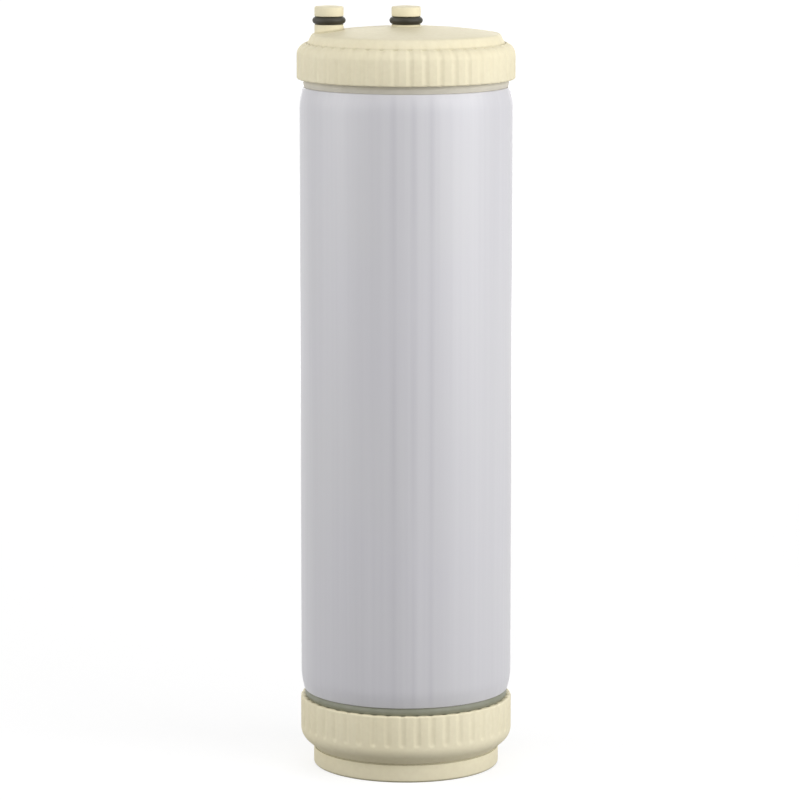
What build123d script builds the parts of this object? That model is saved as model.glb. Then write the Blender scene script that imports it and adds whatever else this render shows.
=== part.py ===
from build123d import *
from math import atan2, degrees, sqrt
import os

# Water softener cartridge, standing on its foot, in millimetres.
# The origin is the centre of the foot's bottom face, and +Z runs up the axis.
# The inlet spigot lies towards -X of the outlet spigot, which is on the axis.

# Tube
tube_length = 201.9
tube_radius = 35.1
tube_wall = 2.4
tube_neck_inset = 1.0
tube_neck_length = 4.5
tube_neck_blend = 18.0
tube_end_round = 0.4

# Gaskets in the two seams, each a little narrower than the tube's necked ends
bottom_gasket_thickness = 2.5
bottom_gasket_inset = 0.1
top_gasket_thickness = 2.6
top_gasket_inset = 0.2

# The plug that each cap pushes into the tube, and the ring of round cord in its groove
plug_length = 12.0
plug_wall = 3.8
plug_clearance = 0.1
plug_lead_in = 0.8
cap_seal_cord = 2.0
cap_seal_setback = 4.0

# Flutes round both caps for the fingers
grip_count = 45
flute_radius = 2.2
flute_depth = 0.3
bottom_flute_length = 9.3
flute_run_out = 0.8

# Bottom cap: the collar stands proud of the tube, and the foot lies inside the collar
bottom_collar_proud = 0.2
bottom_collar_height = 13.15
bottom_shoulder_rise = 3.75
bottom_shoulder_blend = 5.0
collar_bevel = 0.4
foot_inset = 4.3
foot_height = 6.4
foot_rim_width = 3.5
foot_recess_depth = 2.5
foot_edge_round = 0.8
foot_wall = 4.0
cap_floor = 2.5
crease_width = 0.4
crease_depth = 0.5

# Top cap: the crown's wall starts inside the collar and leans in to its rim
top_collar_proud = 0.9
top_collar_height = 7.9
top_shoulder_radius = 4.0
crown_inset = 2.9
crown_taper = 2.1
crown_rim_height = 6.8
crown_rise = 2.4
crown_rim_round = 1.2
crown_wall = 3.0
chamber_corner = 2.5

# Spigots on the top cap
port_rim_distance = 5.7
port_rise = 6.6
port_radius = 4.8
port_bore_radius = 2.0
port_lead_in = 0.6
port_seal_cord = 2.4
port_seal_drop = 4.6
port_seal_proud = 0.7

# Ribs inside the caps
rib_count = 6
rib_thickness = 1.6
rib_bite = 1.0
rib_angle = 30.0
lower_rib_gap = 2.8
upper_rib_gap = 5.0
strainer_lift = 7.0
diffuser_setback = 1.4

# Riser tube and its socket
riser_radius = 3.2
riser_wall = 1.0
riser_clearance = 0.1
riser_end_play = 0.3
socket_wall = 3.7
socket_depth = 12.0
riser_seal_cord = 1.8
riser_seal_setback = 4.0

# Plates, screens, pads and resin
disc_clearance = 0.2
strainer_thickness = 2.4
strainer_stop = 1.2
hub_wall = 2.7
hub_height = 8.0
slot_count = 16
slot_width = 2.0
slot_hub_gap = 3.0
slot_edge_gap = 2.4
diffuser_thickness = 2.0
diffuser_hole_radius = 1.4
diffuser_edge_gap = 7.4
diffuser_ring_spacing = 9.0
inner_hole_count = 8
outer_hole_count = 16
screen_thickness = 0.4
lower_pad_thickness = 5.0
upper_pad_thickness = 4.0
bed_clearance = 0.05

# Rubber rings: how far the cord is pressed flat on each seat, and the room beside it in its groove
seal_nip = 0.1
groove_room = 0.1

# How closely an edge's radius and height must match to be picked
pick = 0.01

# The flutes start on the plane through both spigots, and the bottom cap's lie between the top cap's
half_flute_pitch = 180 / grip_count

# Heights, from the foot up
shoulder_corner = foot_height + bottom_shoulder_rise
bottom_seat = shoulder_corner + bottom_collar_height
tube_bottom = bottom_seat + bottom_gasket_thickness
tube_top = tube_bottom + tube_length
top_seat = tube_top + top_gasket_thickness
top_collar_end = top_seat + top_collar_height
crown_rim = top_collar_end + crown_rim_height
crown_top = crown_rim + crown_rise
port_top = crown_top + port_rise
port_seal_height = port_top - port_seal_drop

# Radii that follow from the tube
tube_end_radius = tube_radius - tube_neck_inset
bore_radius = tube_radius - tube_wall
plug_radius = bore_radius - plug_clearance
plug_bore_radius = plug_radius - plug_wall
disc_radius = plug_bore_radius - disc_clearance
bottom_collar_radius = tube_radius + bottom_collar_proud
foot_radius = bottom_collar_radius - foot_inset
top_collar_radius = tube_radius + top_collar_proud
crown_base_radius = top_collar_radius - crown_inset
crown_rim_radius = crown_base_radius - crown_taper
port_offset = crown_rim_radius - port_rim_distance

# Radii that follow from the riser
riser_bore_radius = riser_radius - riser_wall
riser_hole_radius = riser_radius + riser_clearance
socket_radius = riser_hole_radius + socket_wall
hub_radius = riser_hole_radius + hub_wall

# Heights inside the caps
bottom_plug_end = bottom_seat + plug_length
top_plug_end = top_seat - plug_length
floor_height = foot_recess_depth + cap_floor
strainer_bottom = floor_height + strainer_lift
strainer_top = strainer_bottom + strainer_thickness
riser_bottom = strainer_bottom + strainer_stop
hub_top = strainer_top + hub_height
lower_screen_top = strainer_top + screen_thickness
bed_bottom = lower_screen_top + lower_pad_thickness
diffuser_top = top_seat + diffuser_setback
diffuser_bottom = diffuser_top - diffuser_thickness
bed_top = top_plug_end
upper_screen_top = bed_top + screen_thickness
upper_pad_top = upper_screen_top + upper_pad_thickness
socket_end = diffuser_top + socket_depth
riser_top = socket_end - riser_end_play
ceiling_middle = crown_top - crown_wall
ceiling_edge = crown_rim - crown_wall
ceiling_radius = plug_bore_radius - chamber_corner

# Seats of the rubber rings
cap_groove_radius = bore_radius - cap_seal_cord + 2 * seal_nip
bottom_cap_seal_height = bottom_seat + cap_seal_setback
top_cap_seal_height = top_seat - cap_seal_setback
port_seal_radius = port_radius + port_seal_proud
port_groove_radius = port_seal_radius - port_seal_cord + seal_nip
riser_groove_radius = riser_radius + riser_seal_cord - 2 * seal_nip
riser_seal_height = diffuser_top + riser_seal_setback


def rims(solid, radius, height):
    """The round edges of a solid that have this radius and lie at this height."""
    circles = solid.edges().filter_by(GeomType.CIRCLE)
    at_radius = circles.filter_by(lambda edge: abs(edge.radius - radius) < pick)
    return at_radius.filter_by(lambda edge: abs(edge.arc_center.Z - height) < pick)


def corner(profile, radius, height):
    """The corner of a drawn profile that lies at this radius and height."""
    return profile.vertices().sort_by_distance((radius, height, 0))[0]


def dome_radius(edge_radius, rise):
    """The radius of a dome that rises by this much from an edge of this radius."""
    return (edge_radius**2 + rise**2) / (2 * rise)


def upright(x, height):
    """The upright plane through the axis, with its origin moved to a point on it."""
    return Plane(origin=(x, 0, height), x_dir=(1, 0, 0), z_dir=(0, -1, 0))


def cord_ring(middle_radius, cord, inside, outside, x, height):
    """A ring of round cord, cut flat where it is pressed on its inner and outer seats."""
    with BuildPart() as ring:
        with BuildSketch(upright(x, height)):
            with Locations((middle_radius, 0)):
                Circle(cord / 2)
            with Locations(((inside + outside) / 2, 0)):
                Rectangle(outside - inside, cord, mode=Mode.INTERSECT)
        revolve(axis=Axis((x, 0, height), (0, 0, 1)))
    return ring.part


def flat_ring(outer_radius, inner_radius, bottom, top):
    """A flat ring or a disc with a hole, between two heights."""
    with BuildPart() as ring:
        with BuildSketch(Plane.XY.offset(bottom)):
            Circle(outer_radius)
            Circle(inner_radius, mode=Mode.SUBTRACT)
        extrude(amount=top - bottom)
    return ring.part


# Body tube: straight, open at both ends, and necked in a little on the outside towards each seam
with BuildPart() as body_tube:
    with BuildSketch(Plane.XZ) as tube_profile:
        with BuildLine():
            Polyline(
                (bore_radius, tube_bottom),
                (tube_end_radius, tube_bottom),
                (tube_radius, tube_bottom + tube_neck_length),
                (tube_radius, tube_top - tube_neck_length),
                (tube_end_radius, tube_top),
                (bore_radius, tube_top),
                close=True,
            )
        make_face()
        for neck in (tube_bottom + tube_neck_length, tube_top - tube_neck_length):
            fillet(corner(tube_profile, tube_radius, neck), radius=tube_neck_blend)
        for end in (tube_bottom, tube_top):
            fillet(corner(tube_profile, tube_end_radius, end), radius=tube_end_round)
    revolve(axis=Axis.Z)

# One flute of the bottom cap: open at the seam, with a round end above the shoulder
bottom_flute_middle = bottom_collar_radius - flute_depth + flute_radius
with BuildPart() as bottom_flute:
    with BuildSketch(Plane.XY.offset(bottom_seat)):
        with Locations((bottom_flute_middle, 0)):
            Circle(flute_radius)
    extrude(amount=-bottom_flute_length)
    with Locations((bottom_flute_middle, 0, bottom_seat - bottom_flute_length)):
        Sphere(flute_radius)

# Bottom cap: foot, crease, sloped shoulder, collar and the plug that enters the tube
with BuildPart() as bottom_cap:
    with BuildSketch(Plane.XZ) as bottom_profile:
        with BuildLine():
            Polyline(
                (0, 0),
                (foot_radius, 0),
                (foot_radius, foot_height - crease_depth),
                (foot_radius - crease_width, foot_height - crease_depth),
                (foot_radius - crease_width, foot_height),
                (foot_radius, foot_height),
                (bottom_collar_radius, shoulder_corner),
                (bottom_collar_radius, bottom_seat),
                (plug_radius, bottom_seat),
                (plug_radius, bottom_plug_end),
                (0, bottom_plug_end),
                close=True,
            )
        make_face()
        fillet(corner(bottom_profile, foot_radius, 0), radius=foot_edge_round)
        fillet(corner(bottom_profile, bottom_collar_radius, shoulder_corner), radius=bottom_shoulder_blend)
        chamfer(corner(bottom_profile, bottom_collar_radius, bottom_seat), length=collar_bevel)
        chamfer(corner(bottom_profile, plug_radius, bottom_plug_end), length=plug_lead_in)
    revolve(axis=Axis.Z)
    with PolarLocations(0, grip_count, start_angle=half_flute_pitch):
        add(bottom_flute.part, mode=Mode.SUBTRACT)
    # Chamber above the floor, narrower at the foot
    with BuildSketch(Plane.XZ):
        with BuildLine():
            Polyline(
                (0, floor_height),
                (foot_radius - foot_wall, floor_height),
                (plug_bore_radius, strainer_bottom),
                (plug_bore_radius, bottom_plug_end),
                (0, bottom_plug_end),
                close=True,
            )
        make_face()
    revolve(axis=Axis.Z, mode=Mode.SUBTRACT)
    # Shallow recess under the foot, which leaves a rim to stand on
    with BuildSketch():
        Circle(foot_radius - foot_rim_width)
    extrude(amount=foot_recess_depth, mode=Mode.SUBTRACT)
    # Groove for the plug's rubber ring
    with BuildSketch(Plane.XY.offset(bottom_cap_seal_height)):
        Circle(bore_radius)
        Circle(cap_groove_radius, mode=Mode.SUBTRACT)
    extrude(amount=cap_seal_cord / 2 + groove_room, both=True, mode=Mode.SUBTRACT)
    # Ribs on the floor, which carry the strainer
    with BuildSketch(Plane.XY.offset(floor_height)):
        lower_rib_start = riser_radius + lower_rib_gap
        lower_rib_length = plug_bore_radius + rib_bite - lower_rib_start
        with PolarLocations(lower_rib_start + lower_rib_length / 2, rib_count, start_angle=rib_angle):
            Rectangle(lower_rib_length, rib_thickness)
    extrude(amount=strainer_lift)

# The top cap's shoulder is round, and meets the crown's wall in a small crease
shoulder_middle_radius = top_collar_radius - top_shoulder_radius
crease_rise = sqrt(top_shoulder_radius**2 - (crown_base_radius - shoulder_middle_radius) ** 2)
crease_height = top_collar_end + crease_rise
wall_foot_radius = crown_base_radius - crease_width
wall_foot_height = crease_height - crease_depth
wall_height = crown_rim - wall_foot_height
wall_lean = (wall_foot_radius - crown_rim_radius) / wall_height
shoulder_turn = degrees(atan2(crease_rise, crown_base_radius - shoulder_middle_radius))

# One flute of the top cap: up the collar, over the shoulder, and up the crown's wall till it runs out
top_flute_middle = top_collar_radius - flute_depth + flute_radius
flute_foot_radius = wall_foot_radius - flute_depth
flute_end_radius = crown_rim_radius + wall_lean * flute_run_out
flute_lean = degrees(atan2(flute_foot_radius - flute_end_radius, wall_height - flute_run_out))
up_the_wall = Plane(origin=(flute_foot_radius, 0, wall_foot_height)).rotated((0, -flute_lean, 0))
with BuildPart() as top_flute:
    with BuildSketch(Plane.XY.offset(top_collar_end)) as flute_section:
        with Locations((top_flute_middle, 0)):
            Circle(flute_radius)
    extrude(amount=-top_collar_height)
    over_the_shoulder = Axis((shoulder_middle_radius, 0, top_collar_end), (0, -1, 0))
    revolve(flute_section.sketch, axis=over_the_shoulder, revolution_arc=shoulder_turn)
    with BuildSketch(up_the_wall):
        with Locations((flute_radius, 0)):
            Circle(flute_radius)
    extrude(amount=wall_height)

# Top cap: plug, collar, rounded shoulder, crease and crown, in one moulding with its two spigots
with BuildPart() as top_cap:
    with BuildSketch(Plane.XZ) as top_profile:
        with BuildLine():
            Polyline(
                (0, top_plug_end),
                (plug_radius, top_plug_end),
                (plug_radius, top_seat),
                (top_collar_radius, top_seat),
                (top_collar_radius, top_collar_end),
            )
            CenterArc(
                (shoulder_middle_radius, top_collar_end),
                top_shoulder_radius,
                0,
                shoulder_turn,
            )
            Polyline(
                (crown_base_radius, crease_height),
                (wall_foot_radius, wall_foot_height),
                (crown_rim_radius, crown_rim),
            )
            RadiusArc(
                (crown_rim_radius, crown_rim),
                (0, crown_top),
                -dome_radius(crown_rim_radius, crown_rise),
            )
            Line((0, crown_top), (0, top_plug_end))
        make_face()
        fillet(corner(top_profile, crown_rim_radius, crown_rim), radius=crown_rim_round)
        chamfer(corner(top_profile, top_collar_radius, top_seat), length=collar_bevel)
        chamfer(corner(top_profile, plug_radius, top_plug_end), length=plug_lead_in)
    revolve(axis=Axis.Z)
    with PolarLocations(0, grip_count):
        add(top_flute.part, mode=Mode.SUBTRACT)
    # Chamber under the crown, with a domed ceiling
    with BuildSketch(Plane.XZ):
        with BuildLine():
            Polyline(
                (0, ceiling_middle),
                (0, top_plug_end),
                (plug_bore_radius, top_plug_end),
                (plug_bore_radius, ceiling_edge - chamber_corner),
                (ceiling_radius, ceiling_edge),
            )
            RadiusArc(
                (ceiling_radius, ceiling_edge),
                (0, ceiling_middle),
                -dome_radius(ceiling_radius, ceiling_middle - ceiling_edge),
            )
        make_face()
    revolve(axis=Axis.Z, mode=Mode.SUBTRACT)
    # Ribs that hold the diffuser down, clear of the socket so that the water can spread
    with BuildSketch(Plane.XY.offset(diffuser_top)):
        upper_rib_start = socket_radius + upper_rib_gap
        upper_rib_length = plug_bore_radius + rib_bite - upper_rib_start
        with PolarLocations(upper_rib_start + upper_rib_length / 2, rib_count, start_angle=rib_angle):
            Rectangle(upper_rib_length, rib_thickness)
    extrude(amount=ceiling_edge - diffuser_top + rib_bite)
    # Socket for the riser, hanging from the middle of the ceiling
    with BuildSketch(Plane.XY.offset(diffuser_top)):
        Circle(socket_radius)
    extrude(amount=ceiling_middle - diffuser_top + rib_bite)
    # Spigots, one in the middle and one near the rim
    for port_x in (0, -port_offset):
        with BuildSketch(Plane.XY.offset(ceiling_edge)):
            with Locations((port_x, 0)):
                Circle(port_radius)
        extrude(amount=port_top - ceiling_edge)
    chamfer(rims(top_cap.part, port_radius, port_top), length=port_lead_in)
    for port_x in (0, -port_offset):
        with BuildSketch(Plane.XY.offset(port_seal_height)):
            with Locations((port_x, 0)):
                Circle(port_seal_radius)
                Circle(port_groove_radius, mode=Mode.SUBTRACT)
        extrude(amount=port_seal_cord / 2 + groove_room, both=True, mode=Mode.SUBTRACT)
    # Water ways: the inlet opens into the chamber, the outlet into the socket
    with BuildSketch(Plane.XY.offset(port_top)):
        with Locations((0, 0), (-port_offset, 0)):
            Circle(port_bore_radius)
    extrude(amount=diffuser_top - port_top, mode=Mode.SUBTRACT)
    with BuildSketch(Plane.XY.offset(diffuser_top)):
        Circle(riser_hole_radius)
    extrude(amount=socket_depth, mode=Mode.SUBTRACT)
    # Grooves for the riser's ring and the plug's ring
    with BuildSketch(Plane.XY.offset(riser_seal_height)):
        Circle(riser_groove_radius)
    extrude(amount=riser_seal_cord / 2 + groove_room, both=True, mode=Mode.SUBTRACT)
    with BuildSketch(Plane.XY.offset(top_cap_seal_height)):
        Circle(bore_radius)
        Circle(cap_groove_radius, mode=Mode.SUBTRACT)
    extrude(amount=cap_seal_cord / 2 + groove_room, both=True, mode=Mode.SUBTRACT)

# Riser tube, from the strainer's hub up into the top cap's socket
with BuildPart() as riser_tube:
    with BuildSketch(Plane.XY.offset(riser_bottom)):
        Circle(riser_radius)
        Circle(riser_bore_radius, mode=Mode.SUBTRACT)
    extrude(amount=riser_top - riser_bottom)

# Lower strainer: a slotted plate on the bottom cap's ribs, with the hub that holds the riser
slot_start = hub_radius + slot_hub_gap
slot_end = disc_radius - slot_edge_gap
with BuildPart() as lower_strainer:
    with BuildSketch(Plane.XY.offset(strainer_bottom)):
        Circle(disc_radius)
        with PolarLocations((slot_start + slot_end) / 2, slot_count):
            SlotOverall(slot_end - slot_start, slot_width, mode=Mode.SUBTRACT)
    extrude(amount=strainer_thickness)
    with BuildSketch(Plane.XY.offset(strainer_bottom)):
        Circle(hub_radius)
    extrude(amount=strainer_thickness + hub_height)
    with BuildSketch(Plane.XY.offset(strainer_bottom)):
        Circle(riser_bore_radius)
    extrude(amount=strainer_thickness + hub_height, mode=Mode.SUBTRACT)
    with BuildSketch(Plane.XY.offset(riser_bottom)):
        Circle(riser_hole_radius)
    extrude(amount=hub_top - riser_bottom, mode=Mode.SUBTRACT)

# Inlet diffuser: a plate with two rings of holes, held up against the top cap's ribs
outer_hole_ring = disc_radius - diffuser_edge_gap
inner_hole_ring = outer_hole_ring - diffuser_ring_spacing
with BuildPart() as inlet_diffuser:
    with BuildSketch(Plane.XY.offset(diffuser_bottom)):
        Circle(disc_radius)
        Circle(riser_hole_radius, mode=Mode.SUBTRACT)
        with PolarLocations(inner_hole_ring, inner_hole_count):
            Circle(diffuser_hole_radius, mode=Mode.SUBTRACT)
        with PolarLocations(outer_hole_ring, outer_hole_count):
            Circle(diffuser_hole_radius, mode=Mode.SUBTRACT)
    extrude(amount=diffuser_thickness)

# Resin bed: fills the tube between the two plugs, and the bottom plug down to the lower pad
with BuildPart() as resin_bed:
    with BuildSketch(Plane.XZ):
        with BuildLine():
            Polyline(
                (hub_radius + disc_clearance, bed_bottom),
                (disc_radius, bed_bottom),
                (disc_radius, bottom_plug_end),
                (bore_radius - bed_clearance, bottom_plug_end),
                (bore_radius - bed_clearance, bed_top),
                (riser_hole_radius, bed_top),
                (riser_hole_radius, hub_top),
                (hub_radius + disc_clearance, hub_top),
                close=True,
            )
        make_face()
    revolve(axis=Axis.Z)

# Every piece under its own name, with the plain rings and discs made here
pieces = {
    "body_tube": body_tube.part,
    "top_cap": top_cap.part,
    "bottom_cap": bottom_cap.part,
    "bottom_gasket": flat_ring(tube_end_radius - bottom_gasket_inset, bore_radius, bottom_seat, tube_bottom),
    "top_gasket": flat_ring(tube_end_radius - top_gasket_inset, bore_radius, tube_top, top_seat),
    "bottom_cap_o_ring": cord_ring(
        (cap_groove_radius + bore_radius) / 2,
        cap_seal_cord,
        cap_groove_radius,
        bore_radius,
        0,
        bottom_cap_seal_height,
    ),
    "top_cap_o_ring": cord_ring(
        (cap_groove_radius + bore_radius) / 2,
        cap_seal_cord,
        cap_groove_radius,
        bore_radius,
        0,
        top_cap_seal_height,
    ),
    "outlet_o_ring": cord_ring(
        port_seal_radius - port_seal_cord / 2,
        port_seal_cord,
        port_groove_radius,
        port_seal_radius,
        0,
        port_seal_height,
    ),
    "inlet_o_ring": cord_ring(
        port_seal_radius - port_seal_cord / 2,
        port_seal_cord,
        port_groove_radius,
        port_seal_radius,
        -port_offset,
        port_seal_height,
    ),
    "riser_o_ring": cord_ring(
        (riser_radius + riser_groove_radius) / 2,
        riser_seal_cord,
        riser_radius,
        riser_groove_radius,
        0,
        riser_seal_height,
    ),
    "riser_tube": riser_tube.part,
    "lower_strainer": lower_strainer.part,
    "lower_screen": flat_ring(disc_radius, hub_radius + disc_clearance, strainer_top, lower_screen_top),
    "lower_felt_pad": flat_ring(disc_radius, hub_radius + disc_clearance, lower_screen_top, bed_bottom),
    "resin_bed": resin_bed.part,
    "upper_screen": flat_ring(disc_radius, riser_hole_radius, bed_top, upper_screen_top),
    "upper_felt_pad": flat_ring(disc_radius, riser_hole_radius, upper_screen_top, upper_pad_top),
    "expansion_pad": flat_ring(disc_radius, riser_hole_radius, upper_pad_top, diffuser_bottom),
    "inlet_diffuser": inlet_diffuser.part,
}

os.makedirs("parts", exist_ok=True)
for name, piece in pieces.items():
    piece.label = name
    export_step(piece, f"parts/{name}.step")
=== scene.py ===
import math

import bmesh
import bpy
import numpy as np
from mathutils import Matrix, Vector


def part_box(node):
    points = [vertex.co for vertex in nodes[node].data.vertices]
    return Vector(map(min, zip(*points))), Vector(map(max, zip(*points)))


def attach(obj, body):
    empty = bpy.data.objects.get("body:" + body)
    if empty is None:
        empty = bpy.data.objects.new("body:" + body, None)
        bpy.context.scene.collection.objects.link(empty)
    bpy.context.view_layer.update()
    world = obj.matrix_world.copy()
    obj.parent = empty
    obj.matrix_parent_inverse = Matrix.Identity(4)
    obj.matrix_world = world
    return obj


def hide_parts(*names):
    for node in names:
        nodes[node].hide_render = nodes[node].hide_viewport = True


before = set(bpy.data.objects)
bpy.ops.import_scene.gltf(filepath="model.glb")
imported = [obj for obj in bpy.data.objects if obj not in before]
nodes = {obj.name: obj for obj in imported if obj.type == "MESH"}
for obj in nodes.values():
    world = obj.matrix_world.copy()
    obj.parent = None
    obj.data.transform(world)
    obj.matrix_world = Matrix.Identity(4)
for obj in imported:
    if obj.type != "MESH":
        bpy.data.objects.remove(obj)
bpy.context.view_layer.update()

# Looks of the water softener cartridge. Its own lengths are in millimetres, and the studio's are in metres.
mm = 0.001


def box_mm(node):
    """Lowest and highest corner of a solid, in millimetres."""
    low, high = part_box(node)
    return low / mm, high / mm


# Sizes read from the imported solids
tube_low, tube_high = box_mm("body_tube")
tube_radius = tube_high.x
tube_bottom = tube_low.z
tube_top = tube_high.z
bottom_cap_high = box_mm("bottom_cap")[1]
bottom_collar_radius = bottom_cap_high.y
bottom_plug_end = bottom_cap_high.z
bottom_seat = box_mm("bottom_gasket")[0].z
top_seat = box_mm("top_gasket")[1].z
top_cap_low, top_cap_high = box_mm("top_cap")
top_collar_radius = top_cap_high.y
top_plug_end = top_cap_low.z
port_top = top_cap_high.z
outlet_ring_low, outlet_ring_high = box_mm("outlet_o_ring")
inlet_ring_low, inlet_ring_high = box_mm("inlet_o_ring")
port_seal_radius = outlet_ring_high.x
port_seal_height = (outlet_ring_low.z + outlet_ring_high.z) / 2
port_seal_cord = outlet_ring_high.z - outlet_ring_low.z
inlet_x = (inlet_ring_low.x + inlet_ring_high.x) / 2

# Sizes inside the solids, the same as in the solids' own source
tube_wall = 2.4
tube_neck_inset = 1.0
tube_neck_length = 4.5
plug_clearance = 0.1
plug_wall = 3.8
cap_seal_cord = 2.0
cap_seal_setback = 4.0
seal_nip = 0.1
groove_room = 0.1
flute_count = 45
flute_radius = 2.2
flute_depth = 0.3
bottom_flute_length = 9.3
flute_run_out = 0.8
top_flute_angle = 0.0
bottom_flute_angle = math.pi / flute_count
foot_inset = 4.3
foot_height = 6.4
foot_rim_width = 3.5
foot_recess_depth = 2.5
foot_wall = 4.0
cap_floor = 2.5
bottom_collar_height = 13.15
bottom_shoulder_blend = 5.0
crease_width = 0.4
crease_depth = 0.5
strainer_lift = 7.0
top_collar_height = 7.9
top_shoulder_radius = 4.0
crown_inset = 2.9
crown_taper = 2.1
crown_rim_height = 6.8
crown_rise = 2.4
crown_wall = 3.0
chamber_corner = 2.5
port_radius = 4.8
port_bore_radius = 2.0
port_lead_in = 0.6
diffuser_setback = 1.4
riser_hole_radius = 3.3
socket_radius = 7.0
socket_depth = 12.0
riser_seal_cord = 1.8
riser_seal_setback = 4.0
riser_groove_radius = 4.8
rib_count = 6
rib_thickness = 1.6
rib_bite = 1.0
first_rib_angle = math.radians(30)
lower_rib_start = 6.0
upper_rib_start = 12.0

# Faint darker upright lines round the tube, in degrees round from the front
upright_line_azimuths = (-6.8, 3.9, 13.5, 104, 131, 176, 214, 249)
upright_line_width = 1.5

# Small rounds, where the solids are sharp or bevelled, and how softly a flute's edge fades
edge_round = 0.25
tube_end_round = 0.4
tube_neck_blend = 18.0
rim_round = 1.2
foot_round = 0.8
shoulder_foot_round = 0.2
bevel_round = 0.5
port_foot_round = 0.3
plug_end_round = 0.6
crease_round = 0.12
crease_foot_round = 0.15
chamber_round = 1.0
socket_root_round = 0.8
gasket_edge_round = 0.1
gasket_side_round = 0.2
gasket_rim_round = 1.0
gasket_bulge = 0.35
flute_softness = 0.1

# Fineness of the meshes
samples_per_flute = 14
turn_samples = 288
port_samples = 96
cord_samples = 48
shoulder_points = 10
crown_points = 9
ceiling_points = 6
flute_step = 0.45
tube_step = 12.0
arc_gap = 0.01
widest_arc_step = math.radians(31)
smooth_limit = math.radians(32)

# The most of an edge that the round at one end may take, and the least length that counts
edge_share = 0.49
tiny = 1e-9

# The flutes cut only what looks outward this much, clear of the plug and as far in as the crown's rim
least_outward = 0.1
plug_gap = 0.2
rim_overlap = 0.3

# A flute's floor meets the wall at the end of its run, and goes on rising for as many runs as this
farthest_run = 2

# A hair's breadth, for what would lie exactly on something else
hair = 0.01

# How far the cutter of the water way stands out of its spigot
bore_overrun = 1.0

# Radii and heights that follow
tube_end_radius = tube_radius - tube_neck_inset
bore_radius = tube_radius - tube_wall
plug_radius = bore_radius - plug_clearance
plug_bore_radius = plug_radius - plug_wall
cap_groove_radius = bore_radius - cap_seal_cord + 2 * seal_nip
foot_radius = bottom_collar_radius - foot_inset
shoulder_corner = bottom_seat - bottom_collar_height
bottom_flute_end = bottom_seat - bottom_flute_length
floor_height = foot_recess_depth + cap_floor
strainer_bottom = floor_height + strainer_lift
top_collar_end = top_seat + top_collar_height
crown_rim = top_collar_end + crown_rim_height
crown_base_radius = top_collar_radius - crown_inset
crown_rim_radius = crown_base_radius - crown_taper
port_groove_radius = port_seal_radius - port_seal_cord + seal_nip
ceiling_radius = plug_bore_radius - chamber_corner
ceiling_edge = crown_rim - crown_wall
diffuser_top = top_seat + diffuser_setback
socket_end = diffuser_top + socket_depth
riser_seal_height = diffuser_top + riser_seal_setback

# The top cap's shoulder is round, and meets the crown's wall in a small crease
shoulder_middle = top_collar_radius - top_shoulder_radius
crease_rise = math.sqrt(top_shoulder_radius**2 - (crown_base_radius - shoulder_middle) ** 2)
crease_height = top_collar_end + crease_rise
wall_foot_radius = crown_base_radius - crease_width
wall_foot_height = crease_height - crease_depth
shoulder_turn = math.atan2(crease_rise, crown_base_radius - shoulder_middle)


def corner_arc(before, at, after, radius):
    """Points of the round that takes the place of a corner."""
    back = np.subtract(before, at)
    ahead = np.subtract(after, at)
    back_length = np.linalg.norm(back)
    ahead_length = np.linalg.norm(ahead)
    back = back / back_length
    ahead = ahead / ahead_length
    half = math.acos(float(np.clip(back @ ahead, -1, 1))) / 2
    reach = min(radius / math.tan(half), edge_share * back_length, edge_share * ahead_length)
    radius = reach * math.tan(half)
    middle = np.array(at) + (back + ahead) / np.linalg.norm(back + ahead) * radius / math.sin(half)
    start = np.array(at) + back * reach - middle
    sweep = math.pi - 2 * half
    widest = min(math.sqrt(8 * arc_gap / radius), widest_arc_step)
    steps = math.ceil(sweep / widest)
    side = math.copysign(1, back[0] * ahead[1] - back[1] * ahead[0])
    points = []
    for step in range(steps + 1):
        turn = -side * sweep * step / steps
        c, s = math.cos(turn), math.sin(turn)
        points.append((middle[0] + c * start[0] - s * start[1], middle[1] + s * start[0] + c * start[1]))
    return points


def rounded(corners, closed=True):
    """An outline with rounded corners: each corner is radius, height and how round it is."""
    outline = []
    for index, (r, z, roundness) in enumerate(corners):
        at_end = not closed and index in (0, len(corners) - 1)
        if at_end or not roundness:
            outline.append((r, z))
            continue
        before = corners[index - 1][:2]
        after = corners[(index + 1) % len(corners)][:2]
        outline.extend(corner_arc(before, (r, z), after, roundness))
    return outline


def with_steps(outline, low, high, inner, step):
    """The outline with extra points where it runs between two heights, outside an inner radius."""
    fine = []
    for here, there in zip(outline, outline[1:] + outline[:1]):
        fine.append(here)
        if min(here[0], there[0]) < inner:
            continue
        pieces = max(1, math.ceil(math.dist(here, there) / step))
        for piece in range(1, pieces):
            share = piece / pieces
            height = here[1] + (there[1] - here[1]) * share
            if low <= height <= high:
                fine.append((here[0] + (there[0] - here[0]) * share, height))
    return fine


def add_mesh(name, vertices, faces):
    """A new object made of points, in metres, and faces."""
    mesh = bpy.data.meshes.new(name)
    mesh.from_pydata(vertices, [], faces)
    piece = bpy.data.objects.new(name, mesh)
    bpy.context.scene.collection.objects.link(piece)
    return piece


def unit(rows):
    """Each row of an array, brought to length 1."""
    return rows / np.maximum(np.linalg.norm(rows, axis=1), tiny)[:, None]


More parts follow.
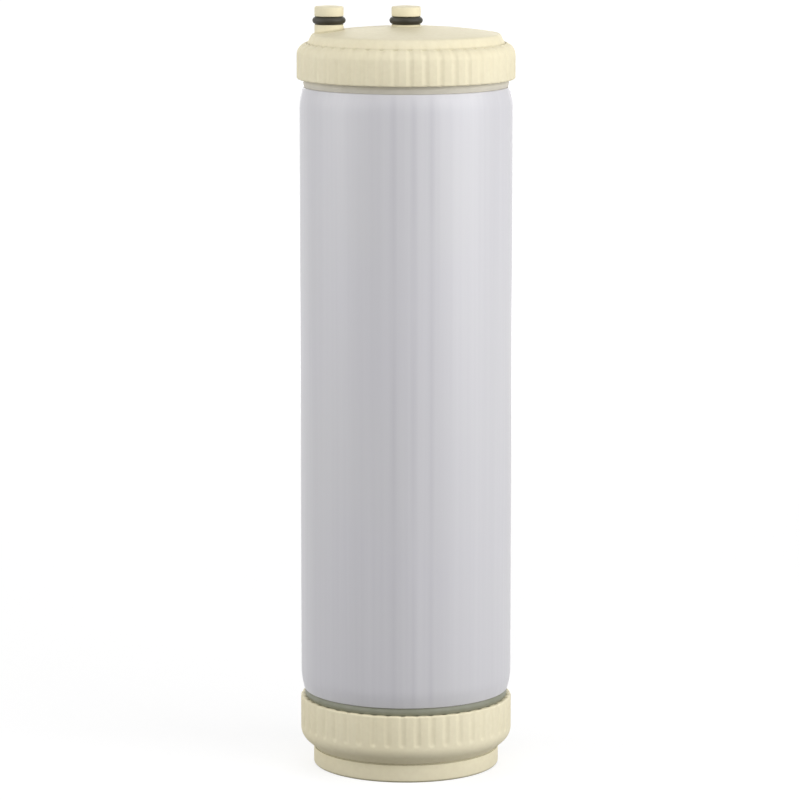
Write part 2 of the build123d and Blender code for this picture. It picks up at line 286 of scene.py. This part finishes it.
def turned(name, outline, samples, cut=None, x=0.0, poles=False):
    """A closed mesh made by turning an outline about an upright axis, with a cut into its surface if given.

    With poles, the outline starts and ends on the axis; without, it is a closed ring clear of the axis."""
    path = np.array(outline)
    ahead = np.roll(path, -1, axis=0) - path
    behind = path - np.roll(path, 1, axis=0)
    if poles:
        ahead[-1] = behind[-1]
        behind[0] = ahead[0]
    along = unit(unit(ahead) + unit(behind))
    outward = np.stack([along[:, 1], -along[:, 0]], axis=1)
    angles = np.arange(samples) * 2 * math.pi / samples
    depth = np.zeros((len(path), samples)) if cut is None else cut(path, outward, angles)
    radius = path[:, :1] - outward[:, :1] * depth
    height = path[:, 1:] - outward[:, 1:] * depth
    height = np.broadcast_to(height, radius.shape)
    points = np.stack([x + radius * np.cos(angles), radius * np.sin(angles), height], axis=2)
    rows = len(path)
    vertices = [tuple(point) for point in (points * mm).reshape(-1, 3)]
    faces = []
    rings = range(1, rows - 2) if poles else range(rows)
    for row in rings:
        up = (row + 1) % rows
        for k in range(samples):
            side = (k + 1) % samples
            faces.append((row * samples + k, row * samples + side, up * samples + side, up * samples + k))
    if poles:
        for k in range(samples):
            side = (k + 1) % samples
            faces.append((0, samples + side, samples + k))
            faces.append(((rows - 1) * samples, (rows - 2) * samples + k, (rows - 2) * samples + side))
    piece = add_mesh(name, vertices, faces)
    tidy(piece)
    return piece


def tidy(piece):
    """Drops loose points, turns every face outward and smooths all but the sharp edges."""
    work = bmesh.new()
    work.from_mesh(piece.data)
    loose = [vertex for vertex in work.verts if not vertex.link_faces]
    bmesh.ops.delete(work, geom=loose, context="VERTS")
    bmesh.ops.recalc_face_normals(work, faces=work.faces)
    work.to_mesh(piece.data)
    work.free()
    piece.data.polygons.foreach_set("use_smooth", [True] * len(piece.data.polygons))
    piece.data.set_sharp_from_angle(angle=smooth_limit)


def combine(piece, other, operation):
    """Joins another closed mesh to a piece, or cuts it away, and drops that mesh."""
    modifier = piece.modifiers.new("combine", "BOOLEAN")
    modifier.object = other
    modifier.operation = operation
    modifier.solver = "MANIFOLD"
    bpy.context.view_layer.update()
    ready = piece.evaluated_get(bpy.context.evaluated_depsgraph_get())
    mesh = bpy.data.meshes.new_from_object(ready)
    piece.modifiers.clear()
    piece.data = mesh
    bpy.data.objects.remove(other)
    tidy(piece)


def soft_cut(depth):
    """A depth of cut that fades to nothing without a sharp edge."""
    return (depth + np.sqrt(depth * depth + flute_softness * flute_softness)) / 2


def flute_distance(angles, radius, first_angle):
    """How far round the wall each point lies from the middle of its flute."""
    pitch = 2 * math.pi / flute_count
    turn = (angles - first_angle + pitch / 2) % pitch - pitch / 2
    return turn * radius


def flute_section(distance, floor_depth):
    """How deep a round flute cuts at this distance from its middle, where its floor is this deep."""
    reach = np.maximum(flute_radius**2 - distance**2, 0)
    return np.sqrt(reach) - (flute_radius - floor_depth)


def bottom_flutes(path, outward, angles):
    """Flutes of the bottom cap: open at the seam, with a round lower end."""
    distance = flute_distance(angles[None, :], path[:, :1], bottom_flute_angle)
    below = np.maximum(bottom_flute_end - path[:, 1:], 0)
    cut = soft_cut(flute_section(np.hypot(distance, below), flute_depth))
    on_wall = (path[:, :1] > plug_radius + plug_gap) & (path[:, 1:] > shoulder_corner)
    return np.where(on_wall & (outward[:, :1] > least_outward), cut, 0)


def top_flutes(path, outward, angles):
    """Flutes of the top cap: up the collar, over the shoulder, and up the crown's wall till they run out."""
    distance = flute_distance(angles[None, :], path[:, :1], top_flute_angle)
    run = (path[:, 1:] - wall_foot_height) / (crown_rim - flute_run_out - wall_foot_height)
    on_crown = path[:, :1] < crown_base_radius + hair
    floor_depth = np.where(on_crown, flute_depth * (1 - np.clip(run, 0, farthest_run)), flute_depth)
    cut = soft_cut(flute_section(distance, floor_depth))
    on_wall = (path[:, :1] > crown_rim_radius - rim_overlap) & (path[:, 1:] > top_seat - hair)
    return np.where(on_wall & (outward[:, :1] > least_outward), cut, 0)


def dome(edge_radius, edge_height, rise, inner_radius, steps):
    """Points of a shallow dome from its edge in to a smaller radius."""
    curve = (edge_radius**2 + rise**2) / (2 * rise)
    radii = np.linspace(edge_radius, inner_radius, steps)
    return [(r, edge_height + rise - curve + math.sqrt(curve**2 - r**2)) for r in radii]


def ring_groove(wall, root, middle, cord, roundness=edge_round):
    """Corners of the groove for a rubber ring in an upright wall, from its lower edge to its upper one."""
    half = cord / 2 + groove_room
    low = middle - half
    high = middle + half
    return [(wall, low, roundness), (root, low, roundness), (root, high, roundness), (wall, high, roundness)]


def spigot_side():
    """Corners of a spigot's outside: the groove for its ring, and the tip with its lead-in."""
    groove = ring_groove(port_radius, port_groove_radius, port_seal_height, port_seal_cord)
    return [*groove, (port_radius, port_top, port_lead_in)]


def make_ribs(start, low, high):
    """The upright ribs inside a cap, each from an inner radius out into the cap's wall."""
    end = plug_bore_radius + rib_bite
    half = rib_thickness / 2
    vertices = []
    faces = []
    for rib in range(rib_count):
        turn = first_rib_angle + rib * 2 * math.pi / rib_count
        c, s = math.cos(turn), math.sin(turn)
        base = len(vertices)
        for z in (low, high):
            for out, across in ((start, -half), (end, -half), (end, half), (start, half)):
                vertices.append(((out * c - across * s) * mm, (out * s + across * c) * mm, z * mm))
        sides = [(k, (k + 1) % 4, (k + 1) % 4 + 4, k + 4) for k in range(4)]
        for face in [(3, 2, 1, 0), (4, 5, 6, 7), *sides]:
            faces.append(tuple(base + corner for corner in face))
    return add_mesh("ribs", vertices, faces)


def make_top_cap():
    """Plug, collar, shoulder, crown, inner ribs and both spigots in one moulding."""
    crown = dome(crown_rim_radius, crown_rim, crown_rise, port_radius, crown_points)
    ceiling = dome(ceiling_radius, ceiling_edge, crown_rise, socket_radius, ceiling_points)
    riser_groove = ring_groove(riser_hole_radius, riser_groove_radius, riser_seal_height, riser_seal_cord, 0)
    shoulder = [
        (
            shoulder_middle + top_shoulder_radius * math.cos(turn),
            top_collar_end + top_shoulder_radius * math.sin(turn),
            0,
        )
        for turn in np.linspace(0, shoulder_turn, shoulder_points)
    ]
    corners = [
        (plug_radius, top_plug_end, plug_end_round),
        *ring_groove(plug_radius, cap_groove_radius, top_seat - cap_seal_setback, cap_seal_cord),
        (plug_radius, top_seat, edge_round),
        (top_collar_radius, top_seat, bevel_round),
        *shoulder[:-1],
        (*shoulder[-1][:2], crease_round),
        (wall_foot_radius, wall_foot_height, crease_foot_round),
        (crown_rim_radius, crown_rim, rim_round),
        *[(r, z, 0) for r, z in crown[1:-1]],
        (*crown[-1], port_foot_round),
        *spigot_side(),
        (port_bore_radius, port_top, edge_round),
        (port_bore_radius, socket_end, edge_round),
        (riser_hole_radius, socket_end, 0),
        *reversed(riser_groove),
        (riser_hole_radius, diffuser_top, edge_round),
        (socket_radius, diffuser_top, edge_round),
        (*ceiling[-1], socket_root_round),
        *[(r, z, 0) for r, z in reversed(ceiling[1:-1])],
        (ceiling_radius, ceiling_edge, chamber_round),
        (plug_bore_radius, ceiling_edge - chamber_corner, chamber_round),
        (plug_bore_radius, top_plug_end, edge_round),
    ]
    outline = with_steps(rounded(corners), wall_foot_height, crown_rim, crown_rim_radius, flute_step)
    cap = turned("cap_upper", outline, flute_count * samples_per_flute, top_flutes)
    combine(cap, make_ribs(upper_rib_start, diffuser_top, ceiling_edge + rib_bite), "UNION")
    combine(cap, make_inlet_spigot(), "UNION")
    combine(cap, make_inlet_bore(), "DIFFERENCE")
    return cap


def make_inlet_spigot():
    """The spigot near the rim, down to the ceiling inside."""
    corners = [(0, ceiling_edge, 0), (port_radius, ceiling_edge, 0), *spigot_side(), (0, port_top, 0)]
    return turned("spigot", rounded(corners, closed=False), port_samples, x=inlet_x, poles=True)


def make_inlet_bore():
    """What is cut out for the water way of the spigot near the rim, flared at its mouth."""
    mouth = port_bore_radius + edge_round
    corners = [
        (0, diffuser_top, 0),
        (port_bore_radius, diffuser_top, 0),
        (port_bore_radius, port_top - edge_round, edge_round),
        (mouth, port_top, 0),
        (mouth, port_top + bore_overrun, 0),
        (0, port_top + bore_overrun, 0),
    ]
    return turned("bore", rounded(corners, closed=False), port_samples, x=inlet_x, poles=True)


def make_bottom_cap():
    """Foot, crease, sloped shoulder, collar, plug and inner ribs in one moulding."""
    corners = [
        (0, foot_recess_depth, 0),
        (foot_radius - foot_rim_width, foot_recess_depth, edge_round),
        (foot_radius - foot_rim_width, 0, edge_round),
        (foot_radius, 0, foot_round),
        (foot_radius, foot_height - crease_depth, crease_foot_round),
        (foot_radius - crease_width, foot_height - crease_depth, crease_round),
        (foot_radius - crease_width, foot_height, crease_round),
        (foot_radius, foot_height, shoulder_foot_round),
        (bottom_collar_radius, shoulder_corner, bottom_shoulder_blend),
        (bottom_collar_radius, bottom_seat, bevel_round),
        (plug_radius, bottom_seat, edge_round),
        *ring_groove(plug_radius, cap_groove_radius, bottom_seat + cap_seal_setback, cap_seal_cord),
        (plug_radius, bottom_plug_end, plug_end_round),
        (plug_bore_radius, bottom_plug_end, edge_round),
        (plug_bore_radius, strainer_bottom, chamber_round),
        (foot_radius - foot_wall, floor_height, chamber_round),
        (0, floor_height, 0),
    ]
    low_end = bottom_flute_end - flute_radius
    high_end = bottom_flute_end + flute_radius
    outline = with_steps(rounded(corners, closed=False), low_end, high_end, foot_radius, flute_step)
    cap = turned("cap_lower", outline, flute_count * samples_per_flute, bottom_flutes, poles=True)
    combine(cap, make_ribs(lower_rib_start, floor_height - rib_bite, strainer_bottom), "UNION")
    return cap


def make_tube():
    """The straight tube, open at both ends and necked in a little on the outside towards each seam."""
    corners = [
        (bore_radius, tube_bottom, edge_round),
        (tube_end_radius, tube_bottom, tube_end_round),
        (tube_radius, tube_bottom + tube_neck_length, tube_neck_blend),
        (tube_radius, tube_top - tube_neck_length, tube_neck_blend),
        (tube_end_radius, tube_top, tube_end_round),
        (bore_radius, tube_top, edge_round),
    ]
    outline = with_steps(rounded(corners), tube_bottom, tube_top, 0, tube_step)
    return turned("tube", outline, turn_samples)


def make_gasket(name, node):
    """A pressed rubber ring between cap and tube, a little bulged at its rim."""
    low, high = box_mm(node)
    thickness = high.z - low.z
    corners = [
        (bore_radius, low.z, gasket_edge_round),
        (high.x - gasket_bulge, low.z, gasket_side_round),
        (high.x, low.z + thickness / 2, gasket_rim_round),
        (high.x - gasket_bulge, high.z, gasket_side_round),
        (bore_radius, high.z, gasket_edge_round),
    ]
    return turned(name, rounded(corners), turn_samples)


def make_cord_ring(name, node):
    """A ring of round rubber cord on a spigot, flat where it is pressed on its seat."""
    low, high = box_mm(node)
    cord = high.z - low.z
    middle = port_seal_radius - cord / 2
    middle_height = (low.z + high.z) / 2
    outline = []
    for turn in np.arange(cord_samples) * 2 * math.pi / cord_samples:
        r = middle + cord / 2 * math.cos(turn)
        outline.append((max(r, port_groove_radius + hair), middle_height + cord / 2 * math.sin(turn)))
    return turned(name, outline, port_samples * 2, x=(low.x + high.x) / 2)


# Materials

# A Mix node's colours go in and out by number, as those sockets share their names with others
mix_first = 6
mix_second = 7
mix_result = 2

crease_samples = 8
mesh_thread = 0.5
bead_size = 0.8


def linear(red, green, blue):
    """A colour written as it looks on a screen, from 0 to 255, in the renderer's own terms."""
    channels = [c / 255 for c in (red, green, blue)]
    return (*[c / 12.92 if c <= 0.04045 else ((c + 0.055) / 1.055) ** 2.4 for c in channels], 1)


def add_node(tree, kind, inputs=None, **settings):
    """A new node. Each of its inputs takes a plain value, or is joined to another node's output."""
    node = tree.nodes.new(kind)
    for key, value in settings.items():
        setattr(node, key, value)
    for socket, value in (inputs or {}).items():
        if isinstance(value, bpy.types.NodeSocket):
            tree.links.new(value, node.inputs[socket])
        else:
            node.inputs[socket].default_value = value
    return node


def reckon(tree, operation, first, second):
    """What a Math node makes of two values."""
    return add_node(tree, "ShaderNodeMath", {0: first, 1: second}, operation=operation).outputs["Value"]


def span(tree, value, low, high, start=0.3, end=0.7, **settings):
    """A value spread over a new range. A noise mostly lies between the start and end given here."""
    ends = {"Value": value, "From Min": start, "From Max": end, "To Min": low, "To Max": high}
    return add_node(tree, "ShaderNodeMapRange", ends, **settings).outputs["Result"]


def blend(tree, share, first, second):
    """A mix of two colours, each given as a colour or as another node's output."""
    inputs = {"Factor": share, mix_first: first, mix_second: second}
    return add_node(tree, "ShaderNodeMix", inputs, data_type="RGBA").outputs[mix_result]


class Look:
    """A material made of nodes, with short calls for what these plastics and rubbers need."""

    def __init__(self, name, **shader):
        self.material = bpy.data.materials.new(name)
        self.material.use_nodes = True
        self.tree = self.material.node_tree
        self.shader = self.tree.nodes["Principled BSDF"]
        for key, value in shader.items():
            socket = key.replace("_", " ").title().replace("Ior", "IOR")
            self.shader.inputs[socket].default_value = value
        self.place = self.add("ShaderNodeTexCoord").outputs["Object"]

    def add(self, kind, inputs=None, **settings):
        return add_node(self.tree, kind, inputs, **settings)

    def reckon(self, operation, first, second):
        return reckon(self.tree, operation, first, second)

    def span(self, value, low, high, **ends):
        return span(self.tree, value, low, high, **ends)

    def blend(self, share, first, second):
        return blend(self.tree, share, first, second)

    def noise(self, size, detail=2.0, stretch=1.0):
        """Noise whose blotches are about this many millimetres wide, drawn out along the axis by stretch."""
        drawn = self.add("ShaderNodeMapping", {"Vector": self.place, "Scale": (1, 1, 1 / stretch)})
        inputs = {"Vector": drawn.outputs["Vector"], "Scale": 1 / (size * mm), "Detail": detail}
        return self.add("ShaderNodeTexNoise", inputs).outputs["Fac"]

    def painted_crease_shade(self, reach, most):
        """How much painted shade each point gets from how deep in a crease it lies: 0 in the open, and the
        most given at the deepest.
        """
        shade = self.add("ShaderNodeAmbientOcclusion", {"Distance": reach * mm}, samples=crease_samples)
        return self.span(shade.outputs["AO"], most, 0, start=0.3, end=0.9)

    def upright_lines(self, radius, azimuths, width):
        """How near each point is to an upright line on a round wall: 1 on a line and 0 away from it."""
        flat = self.add("ShaderNodeMapping", {"Vector": self.place, "Scale": (1, 1, 0)}).outputs["Vector"]
        nearness = 0.0
        for azimuth in azimuths:
            turn = math.radians(azimuth)
            line = (radius * mm * math.sin(turn), -radius * mm * math.cos(turn), 0)
            away = self.add("ShaderNodeVectorMath", {0: flat, 1: line}, operation="DISTANCE")
            near = self.span(away.outputs["Value"], 1, 0, start=0, end=width * mm)
            nearness = self.reckon("MAXIMUM", nearness, near)
        return nearness

    def colour(self, output):
        self.tree.links.new(output, self.shader.inputs["Base Color"])

    def roughness(self, output):
        self.tree.links.new(output, self.shader.inputs["Roughness"])

    def relief(self, *layers):
        """Fine relief: each layer is a height pattern and its depth in millimetres."""
        below = {}
        for height, depth in layers:
            inputs = {"Height": height, "Strength": 1.0, "Distance": depth * mm, **below}
            below = {"Normal": self.add("ShaderNodeBump", inputs).outputs["Normal"]}
        self.tree.links.new(below["Normal"], self.shader.inputs["Normal"])


def cap_plastic():
    """Cream moulded plastic, a little yellower in patches, with fine grain and painted shade darkening it
    deep in each crease.
    """
    look = Look("cap_plastic", specular_ior_level=0.3)
    patches = look.noise(size=38, detail=3.0)
    speckle = look.noise(size=1.6, detail=4.0)
    grain = look.noise(size=0.22)
    cream = look.blend(look.span(patches, 0, 1), linear(238, 229, 197), linear(243, 235, 206))
    cream = look.blend(look.span(speckle, 0, 0.25), cream, linear(226, 214, 184))
    # Painted shade: the cream turns a darker olive deep in each crease and tight corner, where shade falls.
    cream = look.blend(look.painted_crease_shade(reach=1.2, most=0.8), cream, linear(158, 150, 116))
    look.colour(cream)
    look.roughness(look.span(speckle, 0.6, 0.7))
    look.relief((patches, 0.05), (grain, 0.006))
    return look.material


def tube_plastic():
    """Pearly lavender-grey tube, drawn in one direction, with faint upright lines."""
    look = Look("tube_plastic", specular_ior_level=0.45, coat_weight=0.15, coat_roughness=0.3)
    bands = look.noise(size=9, stretch=60)
    lines = look.noise(size=1.3, detail=3.0, stretch=120)
    cloud = look.noise(size=55)
    pearl = look.blend(look.span(bands, 0, 1), linear(207, 206, 211), linear(213, 212, 217))
    pearl = look.blend(look.span(lines, 0, 0.25), pearl, linear(198, 196, 204))
    pearl = look.blend(look.span(cloud, 0, 0.35), pearl, linear(212, 212, 211))
    drawn = look.upright_lines(tube_radius, upright_line_azimuths, upright_line_width)
    strength = look.span(look.noise(size=60), 0.15, 0.5)
    pearl = look.blend(look.reckon("MULTIPLY", drawn, strength), pearl, linear(188, 186, 194))
    look.colour(pearl)
    look.roughness(look.span(lines, 0.36, 0.46))
    look.relief((bands, 0.02), (lines, 0.004), (look.noise(size=0.3), 0.002))
    return look.material


def rubber(name, fresh, worn, roughness):
    """Moulded rubber with a fine matt grain and a slight bloom."""
    look = Look(name, specular_ior_level=0.35)
    bloom = look.noise(size=4, detail=4.0)
    grain = look.noise(size=0.15)
    look.colour(look.blend(look.span(bloom, 0, 1), fresh, worn))
    look.roughness(look.span(grain, roughness - 0.06, roughness + 0.06))
    look.relief((grain, 0.008))
    return look.material


def plain_plastic(name, base, shade, roughness):
    """Uncoloured moulded plastic for the pieces inside."""
    look = Look(name, specular_ior_level=0.4)
    patches = look.noise(size=12, detail=3.0)
    grain = look.noise(size=0.3)
    look.colour(look.blend(look.span(patches, 0, 1), base, shade))
    look.roughness(look.span(patches, roughness - 0.05, roughness + 0.05))
    look.relief((grain, 0.006))
    return look.material


def fibre(name, base, shade, size):
    """Felt or foam: a fuzzy, uneven surface."""
    look = Look(name, roughness=0.95, specular_ior_level=0.1)
    fuzz = look.noise(size, detail=6.0)
    look.colour(look.blend(look.span(fuzz, 0, 1), base, shade))
    look.relief((fuzz, size / 3))
    return look.material


def woven_screen():
    """Fine woven mesh, as two crossed sets of threads."""
    look = Look("screen_mesh", roughness=0.5)
    ridges = []
    for direction in ("X", "Y"):
        inputs = {"Vector": look.place, "Scale": 1 / (math.pi * mesh_thread * mm)}
        ridges.append(look.add("ShaderNodeTexWave", inputs, bands_direction=direction).outputs["Fac"])
    weave = look.reckon("MAXIMUM", *ridges)
    threads = look.span(weave, 0, 1, start=0.4, end=0.9)
    look.colour(look.blend(threads, linear(120, 120, 116), linear(228, 228, 222)))
    look.relief((weave, 0.1))
    return look.material


def resin_beads():
    """Amber beads packed tight, with painted shade darkening each bead towards its edge, where shade falls
    between the beads.
    """
    look = Look("resin", roughness=0.3, specular_ior_level=0.5)
    cells = look.add("ShaderNodeTexVoronoi", {"Vector": look.place, "Scale": 1 / (bead_size * mm)})
    away = cells.outputs["Distance"]
    # Painted shade: each bead turns dark brown towards its edge, where shade falls between the beads.
    painted_gap_shade = look.span(away, 0, 1, start=0.1, end=0.7)
    look.colour(look.blend(painted_gap_shade, linear(214, 158, 84), linear(96, 54, 18)))
    look.relief((look.span(away, 1, 0, start=0, end=0.8), 0.3))
    return look.material


def give(piece, material):
    """The piece's only material."""
    piece.data.materials.clear()
    piece.data.materials.append(material)


def dress(piece, node, material):
    """Puts a piece in the place of its solid, with its finish."""
    give(piece, material)
    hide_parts(node)
    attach(piece, "root")


cap_look = cap_plastic()
ring_look = rubber("ring_rubber", linear(44, 42, 33), linear(58, 55, 45), 0.5)
dark_gasket_look = rubber("gasket_dark", linear(134, 136, 119), linear(144, 145, 130), 0.5)
light_gasket_look = rubber("gasket_light", linear(209, 204, 190), linear(216, 211, 197), 0.6)

dress(make_top_cap(), "top_cap", cap_look)
dress(make_bottom_cap(), "bottom_cap", cap_look)
dress(make_tube(), "body_tube", tube_plastic())
dress(make_gasket("gasket_lower", "bottom_gasket"), "bottom_gasket", dark_gasket_look)
dress(make_gasket("gasket_upper", "top_gasket"), "top_gasket", light_gasket_look)
dress(make_cord_ring("ring_outlet", "outlet_o_ring"), "outlet_o_ring", ring_look)
dress(make_cord_ring("ring_inlet", "inlet_o_ring"), "inlet_o_ring", ring_look)

white_look = plain_plastic("inner_plastic", linear(236, 236, 232), linear(228, 228, 222), 0.4)
felt_look = fibre("felt", linear(240, 240, 236), linear(214, 213, 206), 0.6)
foam_look = fibre("foam", linear(232, 228, 212), linear(196, 190, 168), 1.2)
screen_look = woven_screen()
inner_looks = {
    "bottom_cap_o_ring": ring_look,
    "top_cap_o_ring": ring_look,
    "riser_o_ring": ring_look,
    "riser_tube": white_look,
    "lower_strainer": white_look,
    "inlet_diffuser": white_look,
    "lower_screen": screen_look,
    "upper_screen": screen_look,
    "lower_felt_pad": felt_look,
    "upper_felt_pad": felt_look,
    "expansion_pad": foam_look,
    "resin_bed": resin_beads(),
}
for node, material in inner_looks.items():
    give(nodes[node], material)


# Floor, background and light

floor_radius = 40.0
floor_sides = 64
floor_glow = 0.72
near_floor = 0.6
far_floor = 1.1
room_light = 0.2
white = (1, 1, 1, 1)
paper = (0.35, 0.35, 0.35, 1)
grey_paper = (0.3, 0.3, 0.3, 1)


def seen_directly(tree):
    """1 for what the camera sees, also in gloss or through glass, and 0 for the light that things get."""
    path = add_node(tree, "ShaderNodeLightPath").outputs
    seen = reckon(tree, "MAXIMUM", path["Is Camera Ray"], path["Is Glossy Ray"])
    return reckon(tree, "MAXIMUM", seen, path["Is Transmission Ray"])


def floor_paper():
    """Pale paper that shows white away from the cartridge and takes its shadow."""
    material = bpy.data.materials.new("floor_paper")
    material.use_nodes = True
    tree = material.node_tree
    tree.nodes.clear()
    direct = seen_directly(tree)
    matt = add_node(tree, "ShaderNodeBsdfDiffuse", {"Color": blend(tree, direct, grey_paper, paper)})
    place = add_node(tree, "ShaderNodeTexCoord").outputs["Object"]
    reach = add_node(tree, "ShaderNodeVectorMath", {0: place}, operation="LENGTH").outputs["Value"]
    glowing = span(tree, reach, floor_glow, 1.0, near_floor, far_floor, interpolation_type="SMOOTHSTEP")
    strength = reckon(tree, "MULTIPLY", direct, glowing)
    glow = add_node(tree, "ShaderNodeEmission", {"Color": white, "Strength": strength})
    both = add_node(tree, "ShaderNodeAddShader", {0: matt.outputs["BSDF"], 1: glow.outputs["Emission"]})
    add_node(tree, "ShaderNodeOutputMaterial", {"Surface": both.outputs["Shader"]})
    return material


def make_floor():
    """A wide disc under the cartridge."""
    turns = np.arange(floor_sides) * 2 * math.pi / floor_sides
    ring = [(floor_radius * math.cos(turn), floor_radius * math.sin(turn), 0) for turn in turns]
    floor = add_mesh("floor", ring, [tuple(range(floor_sides))])
    give(floor, floor_paper())


def make_world():
    """White where the camera sees it, and a soft grey light for everything else."""
    world = bpy.data.worlds.new("studio")
    bpy.context.scene.world = world
    world.use_nodes = True
    tree = world.node_tree
    background = tree.nodes["Background"]
    background.inputs["Color"].default_value = white
    strength = span(tree, seen_directly(tree), room_light, 1.0, start=0, end=1)
    tree.links.new(strength, background.inputs["Strength"])


def soft_light(name, azimuth, elevation, distance, width, height, power):
    """A soft box aimed at the middle of the cartridge. Azimuth 0 is the camera's side, 90 its right."""
    around = math.radians(azimuth)
    up = math.radians(elevation)
    away = Vector((math.sin(around) * math.cos(up), -math.cos(around) * math.cos(up), math.sin(up)))
    data = bpy.data.lights.new(name, "AREA")
    data.shape = "RECTANGLE"
    data.size = width
    data.size_y = height
    data.energy = power
    light = bpy.data.objects.new(name, data)
    middle = Vector((0, 0, port_top * mm / 2))
    light.location = middle + away * distance
    light.rotation_euler = away.to_track_quat("Z", "Y").to_euler()
    bpy.context.scene.collection.objects.link(light)


make_floor()
make_world()
soft_light("right_box", azimuth=60, elevation=18, distance=0.8, width=0.8, height=0.7, power=5.7)
soft_light("left_box", azimuth=-75, elevation=18, distance=0.8, width=0.8, height=0.7, power=3.9)
soft_light("front_box", azimuth=0, elevation=52, distance=0.8, width=0.5, height=0.4, power=1.2)
soft_light("back_box", azimuth=180, elevation=18, distance=1.2, width=0.9, height=0.7, power=6.0)


# Camera, at the photograph's own viewpoint

view_elevation = math.radians(9.02)
view_distance = 1.366
view_target = Vector((-0.002, 0, 0.12317))
view_lens = 184.6
sensor_width = 36.0


def make_camera():
    """The camera looks down a little on the middle of the cartridge, from far off."""
    data = bpy.data.cameras.new("camera")
    data.lens = view_lens
    data.sensor_width = sensor_width
    data.clip_end = 2 * floor_radius
    camera = bpy.data.objects.new("camera", data)
    back = Vector((0, -math.cos(view_elevation), math.sin(view_elevation)))
    camera.location = view_target + back * view_distance
    camera.rotation_euler = back.to_track_quat("Z", "Y").to_euler()
    bpy.context.scene.collection.objects.link(camera)
    bpy.context.scene.camera = camera


make_camera()
bpy.context.scene.view_settings.view_transform = "Standard"
